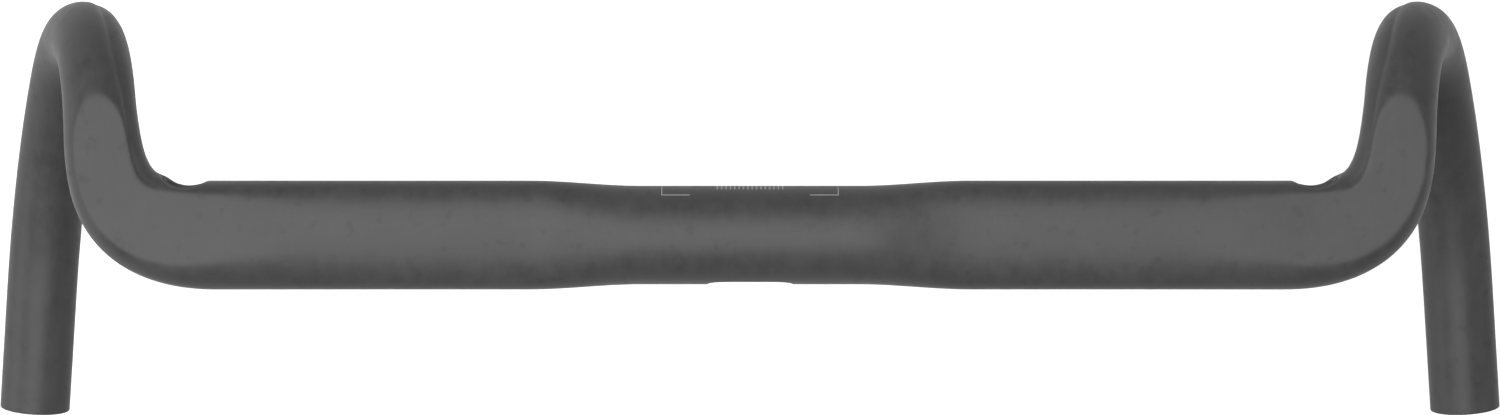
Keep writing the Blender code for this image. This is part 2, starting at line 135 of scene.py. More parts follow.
# %% Points on the skin
def station(s):
    """The centre at s, with the section's outward and upward axes, which untwist the flare along the tops."""
    centre = np.stack([np.interp(s, fine_s, fine_point[:, i]) for i in range(3)], axis=-1)
    tangent, raised = directions(s)
    side = np.cross(tangent, raised)
    untwist = FLARE * (1 - smooth(*REAR_TAPER, s))[..., None]
    up = raised * np.cos(untwist) + side * np.sin(untwist)
    outward = side * np.cos(untwist) - raised * np.sin(untwist)
    return centre, outward, up


def flattened(points, s, inset):
    """Each height above the hand rest's plane goes down onto it, by a soft maximum of the excess and nought."""
    present = smooth(*REST_BEGINS, s)
    ahead = REST_TURN * np.logaddexp(0.0, points[..., 1] / REST_TURN)
    plane = REST_HEIGHT - REST_SLOPE * ahead - inset
    over = points[..., 2] - plane - REST_CLEARANCE * (1 - present)
    lowered = REST_SOFTNESS * np.logaddexp(0.0, over / REST_SOFTNESS) * present
    return points - lowered[..., None] * np.array([0.0, 0.0, 1.0])


def grooved(points, centre, s, angle, inset):
    """Points near the channel's crease go towards the centre, by the depth times one less the share, squared."""
    tilt = CHANNEL_TILTS[0] + (CHANNEL_TILTS[1] - CHANNEL_TILTS[0]) * smooth(*CHANNEL_CLIMBS, s)
    crease = math.pi / 2 + tilt - FLARE * smooth(*REAR_TAPER, s)
    radius = np.linalg.norm(points - centre, axis=-1)
    away = ((angle - crease + math.pi) % (2 * math.pi) - math.pi) * radius
    share = np.abs(away) / np.where(away < 0, CHANNEL_CROWN, CHANNEL_INNER)
    depth = CHANNEL_DEPTH * np.clip(1 - share, 0.0, 1.0) ** 2
    depth = depth * smooth(*CHANNEL_BEGINS, s) * (1 - smooth(*CHANNEL_FADES, s)) * np.clip(1 - inset / WALL, 0, 1)
    return points + (centre - points) * (depth / radius)[..., None]


def signed_power(x, power):
    """The size of x raised to a power, with the sign of x."""
    return np.sign(x) * np.abs(x) ** power


def skin(s, angle, inset=0.0):
    """Points of the right half's skin at distances s and angles round it, inset under the outer surface.

    The section is a superellipse with its own half-depth behind and in front of the centre: across is the
    half-depth times the cosine's power, and along is the half-height times the sine's, each keeping its sign.
    Angle 0 is the rear of the tops and the outside of the ramps, and a quarter turn is the top.
    """
    s, angle = np.broadcast_arrays(np.asarray(s, float), np.asarray(angle, float))
    wing = smooth(CLAMP_HALF, WING_START, s)
    rear_round, front_round = smooth(*REAR_TAPER, s), smooth(*FRONT_TAPER, s)
    depth = CLAMP_RADIUS + (WING_HALF_DEPTH - CLAMP_RADIUS) * wing
    rear = depth + (TUBE_RADIUS - depth) * rear_round
    front = depth + (TUBE_RADIUS - depth) * front_round
    height = CLAMP_RADIUS + (WING_HALF_HEIGHT - CLAMP_RADIUS) * wing
    height = height + (TUBE_RADIUS - height) * front_round
    rise = REST_RISE * smooth(*REST_RISES, s) * (1 - smooth(*REST_SINKS, s))
    power = 2 / (2 + (WING_EXPONENT - 2) * wing * (1 - front_round))
    tilt = WING_TILT * wing * (1 - rear_round)
    cos, sin = np.cos(angle), np.sin(angle)
    across = (np.where(cos > 0, rear, front) - inset) * signed_power(cos, power)
    along = (height + np.where(sin > 0, rise, 0.0) - inset) * signed_power(sin, power)
    centre, outward, up = station(s)
    outwards = (across * np.cos(tilt) + along * np.sin(tilt))[..., None] * outward
    upwards = (along * np.cos(tilt) - across * np.sin(tilt))[..., None] * up
    points = flattened(centre + outwards + upwards, s, inset)
    return grooved(points, centre, s, angle, inset)


clamp_size = np.ptp(skin(0.0, np.linspace(0, 2 * math.pi, 361))[:, 1])
print(f"the clamp zone measures {clamp_size:.2f} mm across")

# %% [markdown]
# ## From arrays to a mesh
# A grid of points becomes a mesh in one call, with the faces as an array of corner numbers. The faces' order
# decides where they point, and with holes and lips it is easy to get one strip wrong, so one recalculation
# turns them all outwards, a negative signed volume turns them all round, and the volume's size is printed for each
# piece.


# %% Helpers for meshes
SHARP_ANGLE = math.radians(35)


def wrapped_strip(first, second):
    """Quads between two closed loops of corner numbers: each number, its neighbour, and the two across."""
    return np.stack([first, np.roll(first, -1), np.roll(second, -1), second], axis=-1)


def add_piece(name, points, faces, finish, body, replaced=(), lay=None, inner=None):
    """A mesh object from points in millimetres and lists of corner numbers, riding on a body.

    lay is a vector for each point, which patterns that follow the surface read; inner marks the faces that
    take the second of two finishes. Corners that no face uses are dropped.
    """
    faces = [np.asarray(face) for face in faces]
    used, renumbered = np.unique(np.concatenate([face.ravel() for face in faces]), return_inverse=True)
    ends = np.cumsum([face.size for face in faces])[:-1]
    mesh = bpy.data.meshes.new(name)
    rows = [part.reshape(face.shape) for part, face in zip(np.split(renumbered, ends), faces)]
    mesh.from_pydata((points[used] * MM).tolist(), [], [corners for row in rows for corners in row.tolist()])
    for each in finish if isinstance(finish, (list, tuple)) else [finish]:
        mesh.materials.append(each)
    if inner is not None:
        mesh.polygons.foreach_set("material_index", np.asarray(inner, np.int32))
    if lay is not None:
        attribute = mesh.attributes.new("lay", "FLOAT_VECTOR", "POINT")
        attribute.data.foreach_set("vector", (lay[used] * MM).astype(np.float32).ravel())
    work = bmesh.new()
    work.from_mesh(mesh)
    bmesh.ops.recalc_face_normals(work, faces=work.faces)
    volume = work.calc_volume(signed=True)
    if volume < 0:
        bmesh.ops.reverse_faces(work, faces=work.faces)
    work.to_mesh(mesh)
    work.free()
    mesh.shade_smooth()
    mesh.set_sharp_from_angle(angle=SHARP_ANGLE)
    piece = bpy.data.objects.new(name, mesh)
    bpy.context.scene.collection.objects.link(piece)
    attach(piece, body)
    if replaced:
        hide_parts(*replaced)
    print(f"{name}: {len(mesh.polygons)} faces, {abs(volume) * 1e6:.2f} cm3")


def mirrored(points, side):
    """Points of the right half, or the same points with x turned round for the left half."""
    return points * np.array([side, 1.0, 1.0])


# %% [markdown]
# ## Finishes
# Shader maths reads best as plain sums. A small class wraps a node's output socket, and its operators add Math
# nodes, so a tone can be written as 0.76 + clouds * 0.16. Every other node comes from one method that takes its
# type, its settings and its inputs. Noise that is squeezed along the bar gives the faint streaks of the fibres
# under the coat. Broad clouds, fine wisps and a few spots give the mottling of a satin coat over carbon.


# %% Shader sums
class Level:
    """A number or a colour that varies over a surface. Sums on numbers add Math nodes."""

    def __init__(self, tree, socket):
        self.tree, self.socket = tree, socket

    def node(self, kind, settings=None, inputs=None, output=0):
        """Any shader node: its type, its settings, which are set first, and its inputs by name or number."""
        made = self.tree.nodes.new("ShaderNode" + kind)
        for key, value in (settings or {}).items():
            setattr(made, key, value)
        for key, value in (inputs or {}).items():
            self.wire(value, made.inputs[key])
        return Level(self.tree, made.outputs[output])

    def wire(self, value, socket):
        if isinstance(value, Level):
            self.tree.links.new(value.socket, socket)
        else:
            socket.default_value = value

    def math(self, operation, *values):
        return self.node("Math", {"operation": operation}, dict(enumerate(values)))

    def __add__(self, other):
        return self.math("ADD", self, other)

    def __radd__(self, other):
        return self.math("ADD", other, self)

    def __sub__(self, other):
        return self.math("SUBTRACT", self, other)

    def __mul__(self, other):
        return self.math("MULTIPLY", self, other)

    def __truediv__(self, other):
        return self.math("DIVIDE", self, other)

    def __abs__(self):
        return self.math("ABSOLUTE", self)

    def ramp(self, low, high):
        """0 under low, 1 over high and smooth between them. With low over high it falls instead."""
        inputs = {"Value": self, "From Min": low, "From Max": high}
        return self.node("MapRange", {"interpolation_type": "SMOOTHSTEP"}, inputs)

    def mix(self, low, high):
        """A colour between two, by this number."""
        return self.node("Mix", {"data_type": "RGBA"}, {"Factor": self, 6: low, 7: high}, 2)


def grey(level, warmth=0.0):
    """An RGBA grey, a little warmer or cooler."""
    return (level * (1 + warmth), level, level * (1 - warmth), 1.0)


def new_finish(name, colour, roughness, metallic=0.0, specular=0.5):
    """A Principled material, with its shader wrapped so that sums can start from it."""
    made = bpy.data.materials.new(name)
    made.use_nodes = True
    made.diffuse_color = colour
    tree = made.node_tree
    shader = tree.nodes["Principled BSDF"]
    for key, value in {
        "Base Color": colour,
        "Roughness": roughness,
        "Metallic": metallic,
        "Specular IOR Level": specular,
    }.items():
        shader.inputs[key].default_value = value
    return made, Level(tree, None), shader


def noise(start, where, scale, detail=2.0, stretch=(1.0, 1.0, 1.0), roughness=0.5):
    """Noise from 0 to 1 over a place, which a Mapping node squeezes or stretches first."""
    place = start.node("Mapping", {}, {"Vector": where, "Scale": stretch})
    return start.node("TexNoise", {}, {"Vector": place, "Scale": scale, "Detail": detail, "Roughness": roughness})


def bumped(start, shader, height, distance, strength=1.0):
    """Feeds a height to the shader's normal through a Bump node."""
    bump = start.node("Bump", {}, {"Height": height, "Distance": distance, "Strength": strength})
    start.wire(bump, shader.inputs["Normal"])


# %% The satin coat over the carbon
# The clamp marks: the brackets' sides, the inner ends and the place of their level lines, and where they end.
PRINT_HALF_WIDTH, PRINT_INNER, PRINT_LEVEL, PRINT_FRONT = 28.3, 19.3, 12.9, 15.6
PRINT_LINE, PRINT_STRENGTH, PRINT_GREY = 0.10, 0.45, 0.42
TICK_PITCH, TICKS_FROM, TICKS_TO, TICKS_HALF_ROW, TICK_STRENGTH = 1.4, 14.7, 15.85, 11.2, 0.6

COAT_GREY, COAT_ROUGHNESS, COAT_SPECULAR = 0.0225, 0.47, 0.14
# The coat's noises: scale per metre, and detail.
CLOUDS, WISPS, SPOTS = (55.0, 3.0), (240.0, 5.0), (190.0, 2.0)
FIBRES, PLIES = (900.0, 3.0), (60.0, 2.0)
COAT_RELIEF = 0.00006


def line(place, at, half=PRINT_LINE):
    """1 on a thin printed line where a coordinate has one value, and 0 away from it."""
    return abs(place - at * MM).ramp(half * MM * 1.3, half * MM * 0.7)


def between(place, low, high):
    """1 where a coordinate lies between two values."""
    return place.math("GREATER_THAN", place, low * MM) * place.math("LESS_THAN", place, high * MM)


def clamp_print(start):
    """The generic marks for setting the bar in its clamp: two corner brackets and a row of fine ticks."""
    place = start.node("TexCoord", output=3)
    x, y, z = (start.node("SeparateXYZ", {}, {0: place}, axis) for axis in range(3))
    across = abs(x)
    top = z.math("GREATER_THAN", z, 0.0)
    level = line(y, PRINT_LEVEL) * between(across, PRINT_INNER, PRINT_HALF_WIDTH + PRINT_LINE)
    upright = line(across, PRINT_HALF_WIDTH) * between(y, PRINT_LEVEL, PRINT_FRONT)
    period = abs(x.math("FRACT", x / (TICK_PITCH * MM)) - 0.5)
    ticks = period.ramp(0.22, 0.14) * between(y, TICKS_FROM, TICKS_TO) * between(across, -1.0, TICKS_HALF_ROW)
    marks = level.math("MAXIMUM", level, upright)
    return marks.math("MAXIMUM", marks, ticks * TICK_STRENGTH) * top


def carbon_coat():
    """The coat: its grey and its roughness follow the same noises, and the fibres stand out a little."""
    made, start, shader = new_finish("satin_coat", grey(COAT_GREY), COAT_ROUGHNESS, specular=COAT_SPECULAR)
    lay = start.node("Attribute", {"attribute_name": "lay"}, output=1)
    place = start.node("TexCoord", output=3)
    clouds = noise(start, place, *CLOUDS, roughness=0.6)
    spots = noise(start, place, *SPOTS).ramp(0.60, 0.70)
    wisps = noise(start, place, *WISPS, stretch=(1.0, 0.6, 0.6), roughness=0.65)
    fibres = noise(start, lay, *FIBRES, stretch=(0.06, 1.0, 1.0))
    plies = noise(start, lay, *PLIES, stretch=(0.35, 1.0, 1.0))
    tone = 0.76 + clouds * 0.16 + wisps * 0.28 + plies * 0.05 + fibres * 0.03 - spots * 0.05
    dark, light = grey(COAT_GREY * 0.55, 0.004), grey(COAT_GREY * 1.5, -0.002)
    coat = ((tone - 0.8) / 0.4).mix(dark, light)
    printed = clamp_print(start) * PRINT_STRENGTH
    start.wire(printed.mix(coat, grey(PRINT_GREY)), shader.inputs["Base Color"])
    start.wire(0.32 + clouds * 0.07 + wisps * 0.24 + spots * 0.03, shader.inputs["Roughness"])
    bumped(start, shader, fibres * 0.4 + plies * 0.6, COAT_RELIEF)
    return made


def bare_laminate():
    """Moulded carbon with no coat: the creases of the bag that pressed it vary its grey, roughness and height."""
    made, start, shader = new_finish("bare_laminate", grey(0.045), 0.55)
    place = start.node("TexCoord", output=3)
    creases = noise(start, place, 120.0, 4.0, stretch=(0.3, 1.0, 1.0))
    start.wire(creases.mix(grey(0.03), grey(0.065)), shader.inputs["Base Color"])
    start.wire(0.45 + creases * 0.2, shader.inputs["Roughness"])
    bumped(start, shader, creases, 0.0003)
    return made


# %% The small pieces' finishes
def grained(name, level, roughness, scale, relief, metallic=0.0, along="object", stretch=(1.0, 1.0, 1.0)):
    """A finish with a grain, which varies its grey, its roughness and its height by one noise."""
    made, start, shader = new_finish(name, grey(level), roughness, metallic)
    if along == "lay":
        place = start.node("Attribute", {"attribute_name": "lay"}, output=1)
    else:
        place = start.node("TexCoord", output=3)
    grain = noise(start, place, scale, 3.0, stretch)
    broad = noise(start, place, scale / 12, 2.0)
    start.wire((grain * 0.6 + broad * 0.4).mix(grey(level * 0.8), grey(level * 1.2)), shader.inputs["Base Color"])
    start.wire(roughness - 0.08 + grain * 0.08 + broad * 0.08, shader.inputs["Roughness"])
    bumped(start, shader, grain, relief)
    return made


COAT, LAMINATE = carbon_coat(), bare_laminate()
RIM_RUBBER = grained("rim_rubber", 0.02, 0.75, 2200.0, 0.00004)
PLUG_RUBBER = grained("plug_rubber", 0.022, 0.72, 1600.0, 0.00005)
PLUG_NYLON = grained("plug_nylon", 0.03, 0.5, 2600.0, 0.00003)
GUIDE_NYLON = grained("guide_nylon", 0.3, 0.45, 300.0, 0.00004, stretch=(0.1, 1.0, 1.0))
WEDGE_ALUMINIUM = grained("wedge_aluminium", 0.38, 0.38, 700.0, 0.00002, 1.0, "lay", (6.0, 0.1, 0.1))
SCREW_STEEL = grained("screw_steel", 0.28, 0.3, 900.0, 0.00001, 1.0, "lay", (3.0, 0.3, 0.3))
print("finishes:", [made.name for made in bpy.data.materials if made.use_nodes])

# %% [markdown]
# ## The centre shell with its three openings
# The top shell is one moulded tube with an oval hose port in the front of each hand rest and a window behind the
# clamp. A Boolean would cut them in a moment, but it leaves ragged triangles round each edge, and the satin coat
# shows every one. Here the grid itself is bent round each opening: inside a patch of the grid, the lines slide
# outwards until an inner rectangle of them lies on the opening's outline, and the faces inside it are left out.
# The edge is then rolled over with a small radius and joined to the same opening in the inner skin.

# %% The grid and its openings
COLUMNS = 144
JOINT_AT = 250.0
column_angles = np.radians(np.arange(COLUMNS) * 360 / COLUMNS - 90)
# The lines of one half lie close together at the window, at the ports and round the bend.
half_lines = np.concatenate([
    np.linspace(0, 18, 17)[:-1],
    np.linspace(18, CLAMP_HALF, 7)[:-1],
    np.linspace(CLAMP_HALF, WING_START, 15)[:-1],
    np.linspace(WING_START, 168, 17)[:-1],
    np.linspace(168, 212, 41)[:-1],
    np.linspace(212, JOINT_AT, 35),
])
LAST_LINE = len(half_lines) - 1
LIP_STEPS = 5
signed_lines = np.concatenate([-half_lines[:0:-1], half_lines])

# Each opening: its centre (x, z), half-sizes, exponent, which way z runs in its patch and its edge's radius, then
# the patch of grid lines and columns, the hole's half-sizes in it and a first guess of distance and angle.
PORT = {
    "centre": (182.4, 1.6), "half": (7.0, 5.9), "exponent": 2.0, "z_sign": -1, "lip": 1.3,
    "lines": (53, 93), "columns": (90, 126), "hole": (12, 12), "guess": (189.0, math.pi),
}
WINDOW = {
    "centre": (0.0, -2.75), "half": (13.4, 7.25), "exponent": 5.5, "z_sign": 1, "lip": 0.6,
    "lines": (-16, 16), "columns": (14, 48), "hole": (12, 11), "guess": (3.0, math.radians(-10)),
}
print(f"the grid has {2 * LAST_LINE + 1} lines of {COLUMNS} points")


# %% Where an outline meets the skin
def outline(opening, a, b, grow):
    """x and z on the opening's outline in the direction of (a, b), which lies on a square round nought.

    The outline is a superellipse: the sum of the two shares, each raised to the exponent, is one.
    """
    power = opening["exponent"]
    reach = (np.abs(a) ** power + np.abs(b) ** power) ** (-1 / power)
    x = opening["centre"][0] + (opening["half"][0] + grow) * a * reach
    z = opening["centre"][1] + (opening["half"][1] + grow) * b * reach * opening["z_sign"]
    return x, z


def find(x, z, inset, guess):
    """The distance s and the angle where the skin passes through (x, z): Newton's steps on both at once."""
    s = np.full(np.shape(x), guess[0], float)
    angle = np.full(np.shape(x), guess[1], float)
    nudge = 1e-4
    for _ in range(24):
        here = skin(s, angle, inset)[..., ::2]
        by_s = (skin(s + nudge, angle, inset)[..., ::2] - here) / nudge
        by_angle = (skin(s, angle + nudge, inset)[..., ::2] - here) / nudge
        miss = np.stack([x, z], axis=-1) - here
        scale = by_s[..., 0] * by_angle[..., 1] - by_s[..., 1] * by_angle[..., 0]
        s_step = (miss[..., 0] * by_angle[..., 1] - miss[..., 1] * by_angle[..., 0]) / scale
        angle_step = (by_s[..., 0] * miss[..., 1] - by_s[..., 1] * miss[..., 0]) / scale
        s = np.maximum(s + np.clip(s_step, -2.0, 2.0), 0.0)
        angle = angle + np.clip(angle_step, -0.1, 0.1)
    return s, angle


def pierce(opening, a, b, grow, inset):
    """Points where the opening's outline goes through the skin, on either half of the bar, and their angles."""
    x, z = outline(opening, a, b, grow)
    s, angle = find(np.abs(x), z, inset, opening["guess"])
    side = np.where(x < 0, -1.0, 1.0)
    return skin(s, angle, inset) * np.stack([side, 0 * side + 1, 0 * side + 1], axis=-1), s * side, angle


def patch_middle(opening):
    """The middle line and column of the opening's patch, and how many of each it reaches from there."""
    middle = [sum(opening[key]) / 2 for key in ("lines", "columns")]
    return middle, [(opening[key][1] - opening[key][0]) / 2 for key in ("lines", "columns")]


def patch_shares(opening, lines, columns):
    """Where grid corners lie in the opening's patch, from -1 to 1 each way, and the hole's share of the patch."""
    middle, reach = patch_middle(opening)
    shares = [(place - centre) / half for place, centre, half in zip((lines, columns), middle, reach)]
    return shares, [hole / half for hole, half in zip(opening["hole"], reach)]


def bent_round(opening, s, angle, inset, grow):
    """The half grid's distances and angles with its lines bent round an opening.

    t rises from 0 at the hole to 1 at the patch's edge. Each corner goes the share t of the way from the point of
    the outline in its direction to the point of the patch's edge in its direction.
    """
    first = max(opening["lines"][0], 0)
    rows = np.arange(first, opening["lines"][1] + 1)
    columns = np.arange(opening["columns"][0], opening["columns"][1] + 1)
    (p, q), (p_hole, q_hole) = patch_shares(opening, *np.meshgrid(rows, columns, indexing="ij"))
    t = np.maximum((np.abs(p) - p_hole) / (1 - p_hole), (np.abs(q) - q_hole) / (1 - q_hole))
    t = np.clip(t, 0.0, 1.0)
    a, b = p / (p_hole + (1 - p_hole) * t), q / (q_hole + (1 - q_hole) * t)
    size = np.maximum(np.abs(a), np.abs(b))
    a, b = np.where(size > 0, a / np.maximum(size, 1e-9), 1.0), b / np.maximum(size, 1e-9)
    x, z = outline(opening, a, b, grow)
    s_hole, angle_hole = find(np.abs(x), z, inset, opening["guess"])
    (line, column), (line_reach, column_reach) = patch_middle(opening)
    s_edge = np.interp(line + a * line_reach, np.arange(-LAST_LINE, LAST_LINE + 1), signed_lines)
    angle_edge = np.interp(column + b * column_reach, np.arange(COLUMNS), column_angles)
    where = np.ix_(rows, columns)
    s[where] = (1 - t) * s_hole + t * s_edge
    angle[where] = (1 - t) * angle_hole + t * angle_edge


def lay_at(s, angle):
    """The laminate's own place of a point: its distance along the bar, and its place round an even tube."""
    s, angle = np.broadcast_arrays(s, angle)
    return np.stack([s, TUBE_RADIUS * np.cos(angle), TUBE_RADIUS * np.sin(angle)], axis=-1)


def top_grid(inset, rolled):
    """The whole centre shell's grid of points at an inset, from its left end to its right, with its lay.

    rolled is how much of each opening's edge radius the outline has grown by at this inset.
    """
    s, angle = np.meshgrid(half_lines, column_angles, indexing="ij")
    for opening in (PORT, WINDOW):
        bent_round(opening, s, angle, inset, opening["lip"] * rolled)
    right = skin(s, angle, inset)
    points = np.concatenate([mirrored(right[:0:-1], -1), right])
    lay = lay_at(s, angle)
    return points, np.concatenate([mirrored(lay[:0:-1], -1), lay])


def hole_loop(opening, side):
    """The corners on the hole's rectangle in order, as numbers in the full grid, and their shares a and b."""
    lines, columns = opening["hole"]
    up, across = np.arange(-lines, lines), np.arange(-columns, columns)
    line = np.concatenate([up, 0 * across + lines, -up, 0 * across - lines])
    column = np.concatenate([0 * up - columns, across, 0 * up + columns, -across])
    middle = [sum(opening[key]) // 2 for key in ("lines", "columns")]
    row = (line + middle[0]) * side + LAST_LINE
    return row * COLUMNS + column + middle[1], line / lines, column / columns


def grid_quads(rows, columns, openings):
    """Every quad of a grid that wraps round in its columns, without those inside the openings."""
    row, column = np.meshgrid(np.arange(rows - 1), np.arange(columns), indexing="ij")
    kept = np.ones(row.shape, bool)
    for opening, side in openings:
        lines, across = opening["hole"]
        middle_line = sum(opening["lines"]) / 2 * side + LAST_LINE
        middle_column = sum(opening["columns"]) / 2
        inside = (np.abs(row + 0.5 - middle_line) < lines) & (np.abs(column + 0.5 - middle_column) < across)
        kept &= ~inside
    after = (column + 1) % columns
    quads = np.stack([row * columns + column, row * columns + after,
                      (row + 1) * columns + after, (row + 1) * columns + column], axis=-1)
    return quads[kept]


def add_top_shell():
    """Outer and inner grids joined at both ends, and at each opening by a quarter round and a straight wall."""
    outer, outer_lay = top_grid(0.0, 1.0)
    inner, inner_lay = top_grid(WALL, 0.0)
    rows = outer.shape[0]
    count = rows * COLUMNS
    openings = [(PORT, -1), (PORT, 1), (WINDOW, 1)]
    points = [outer.reshape(-1, 3), inner.reshape(-1, 3)]
    lays = [outer_lay.reshape(-1, 3), inner_lay.reshape(-1, 3)]
    shell = grid_quads(rows, COLUMNS, openings)
    strips = []
    for end in (0, rows - 1):
        ring = end * COLUMNS + np.arange(COLUMNS)
        strips.append(wrapped_strip(ring, ring + count))
    total = 2 * count
    for opening, side in openings:
        ring, a, b = hole_loop(opening, side)
        inner_ring = ring + count
        for roll in np.linspace(0, math.pi / 2, LIP_STEPS + 1)[1:]:
            grow, inset = opening["lip"] * (1 - math.sin(roll)), opening["lip"] * (1 - math.cos(roll))
            lip, s, angle = pierce(opening, a, b, grow, inset)
            points.append(mirrored(lip, side))
            lays.append(lay_at(s, angle))
            following = total + np.arange(len(a))
            strips.append(wrapped_strip(ring, following))
            ring, total = following, total + len(a)
        strips.append(wrapped_strip(ring, inner_ring))
    faces = np.concatenate([shell, shell + count] + strips)
    inner_faces = np.zeros(len(faces), int)
    inner_faces[len(shell):2 * len(shell)] = 1
    add_piece("top_shell", np.concatenate(points), [faces], (COAT, LAMINATE), "bar",
              ["top_section"], np.concatenate(lays), inner_faces)


add_top_shell()

# %% [markdown]
# ## The drops
# Below the joint each drop is one more moulded tube, with no openings, so its whole surface is one closed grid:
# out along the skin, over the rolled edge of the bar's end, and back along the bore. It meets the centre shell at
# the bonded joint, which the coat hides, so the two skins share their outline there exactly.
# A bonding sleeve inside each joint holds a drop shell to the centre shell, and it is made in the same way.

# %% Tubes along the bar
END_EDGE = 0.4


def rounded(corners, radii, steps=4):
    """A closed profile with each corner rounded by a parabola.

    The curve begins and ends at the radius from the corner, along its two sides. A point of it is (1 - t) squared
    times the beginning, plus 2 t (1 - t) times the corner, plus t squared times the end.
    """
    corners = np.asarray(corners, float)
    radii = np.broadcast_to(np.asarray(radii, float), len(corners))[:, None]
    before, after = np.roll(corners, 1, axis=0) - corners, np.roll(corners, -1, axis=0) - corners
    before_length = np.linalg.norm(before, axis=1, keepdims=True)
    after_length = np.linalg.norm(after, axis=1, keepdims=True)
    begin = corners + before / before_length * np.minimum(radii, before_length * 0.45)
    end = corners + after / after_length * np.minimum(radii, after_length * 0.45)
    t = np.linspace(0, 1, steps + 1)[None, :, None]
    curve = begin[:, None] * (1 - t) ** 2 + 2 * corners[:, None] * t * (1 - t) + end[:, None] * t**2
    curve = curve.reshape(-1, 2)
    apart = np.linalg.norm(curve - np.roll(curve, 1, axis=0), axis=1) > 1e-6
    return curve[apart]


def divided(profile, longest):
    """The same closed profile with points added along its long sides, at equal distances round it."""
    looped = np.concatenate([profile, profile[:1]])
    length = np.concatenate([[0], np.cumsum(np.linalg.norm(np.diff(looped, axis=0), axis=1))])
    added = np.arange(longest, length[-1], longest)
    clear = np.abs(added[:, None] - length[None, :]).min(axis=1) > longest / 4
    at = np.sort(np.concatenate([length[:-1], added[clear]]))
    return np.stack([np.interp(at, length, looped[:, 0]), np.interp(at, length, looped[:, 1])], axis=-1)


def ring_faces(rows, columns):
    """The quads of a grid that closes on itself both ways."""
    last = wrapped_strip((rows - 1) * columns + np.arange(columns), np.arange(columns))
    return np.concatenate([grid_quads(rows, columns, []), last])


def add_tube(name, profile, side, finish, replaced):
    """A tube that follows the bar, from a closed profile of distances along it and insets under its skin."""
    s, inset = profile[:, 0], profile[:, 1]
    points = skin(s[:, None], column_angles[None, :], inset[:, None])
    lay = lay_at(s[:, None], column_angles[None, :])
    inner = np.repeat((inset > WALL - 0.01) & (np.roll(inset, -1) > WALL - 0.01), COLUMNS).astype(int)
    add_piece(name, mirrored(points.reshape(-1, 3), side), [ring_faces(len(profile), COLUMNS)],
              finish, "bar", replaced, mirrored(lay.reshape(-1, 3), side), inner)


SLEEVE_HALF, SLEEVE_OUTER, SLEEVE_WALL, SLEEVE_EDGE = 20.0, WALL + 0.6, 1.5, 0.4

for side, word in SIDES_OF_BAR:
    walls = [(JOINT_AT, 0.0), (HALF_LENGTH, 0.0), (HALF_LENGTH, WALL), (JOINT_AT, WALL)]
    profile = divided(rounded(walls, (0.0, END_EDGE, END_EDGE, 0.0)), 1.5)
    add_tube(f"{word}_drop_shell", profile, side, (COAT, LAMINATE), [f"{word}_drop_section"])
    ends = (JOINT_AT - SLEEVE_HALF, JOINT_AT + SLEEVE_HALF)
    walls = [(ends[0], SLEEVE_OUTER), (ends[1], SLEEVE_OUTER),
             (ends[1], SLEEVE_OUTER + SLEEVE_WALL), (ends[0], SLEEVE_OUTER + SLEEVE_WALL)]
    profile = divided(rounded(walls, SLEEVE_EDGE), 2.0)
    add_tube(f"{word}_bonding_sleeve", profile, side, (LAMINATE, LAMINATE), [f"{word}_joint_sleeve"])

# %% [markdown]
# ## Rims and hose guides
# A rubber rim lines each opening, so that the hose isn't cut by the laminate's edge. It is one small profile
# carried round the opening's own outline and set back under the skin, which keeps it even however the skin bends.
# The guides are plain nylon tubes on a smooth path from port to window. The ring inside the clamp zone stays as
# packed and takes the bare laminate, because nothing of it shows but its edge in the window.

# %% Rims
RIM_GAP, RIM_WALL, RIM_EDGE = 0.3, 1.1, 0.5
PORT_RIM_DEPTHS, WINDOW_RIM_DEPTHS = (1.0, 4.2), (0.85, 5.2)
RIM_COLUMNS = 160


def add_rim(name, opening, side, front, back, replaced):
    """A rim in an opening, from one depth to another behind the skin, with rounded edges."""
    corners = [(-RIM_GAP, front), (-RIM_GAP, back), (-RIM_GAP - RIM_WALL, back), (-RIM_GAP - RIM_WALL, front)]
    profile = divided(rounded(corners, RIM_EDGE), 0.6)
    angle = np.arange(RIM_COLUMNS) * 2 * math.pi / RIM_COLUMNS
    x, z = outline(opening, np.cos(angle)[None, :], np.sin(angle)[None, :], profile[:, :1])
    s, around = find(np.abs(x), z, 0.0, opening["guess"])
    forward = 1.0 if opening is PORT else -1.0
    y = skin(s, around)[..., 1] - forward * profile[:, 1:]
    points = np.stack([x, y, z], axis=-1).reshape(-1, 3)
    add_piece(name, mirrored(points, side), [ring_faces(len(profile), RIM_COLUMNS)], RIM_RUBBER,
              "bar", [replaced])


add_rim("centre_window_grommet", WINDOW, 1, *WINDOW_RIM_DEPTHS, "centre_window_rim")
for side, word in SIDES_OF_BAR:
    add_rim(f"{word}_port_grommet", PORT, side, *PORT_RIM_DEPTHS, f"{word}_hose_port_rim")

# %% Hose guides
GUIDE_RADIUS, GUIDE_WALL, GUIDE_EDGE, GUIDE_COLUMNS = 3.4, 0.7, 0.25, 40
GUIDE_ENTRY = ((180.5, 9.3, 1.6), (170.0, 2.0, 1.6), (160.0, 0.0, 0.0), (140.0, 0.0, 0.0))
GUIDE_RUN = ((100.0, 0.0, 0.0), (60.0, 0.0, 0.0))
GUIDE_EXIT = ((40.0, 0.0, -0.5), (22.0, 0.0, -1.5), (10.0, 0.0, -2.7), (6.6, -8.0, -2.75))


def bezier(corners, count):
    """Points on a cubic Bezier curve, by its four weights (1-t)^3, 3t(1-t)^2, 3t^2(1-t) and t^3."""
    t = np.linspace(0, 1, count)[:, None]
    a, b, c, d = np.array(corners)
    return a * (1 - t) ** 3 + b * 3 * t * (1 - t) ** 2 + c * 3 * t**2 * (1 - t) + d * t**3


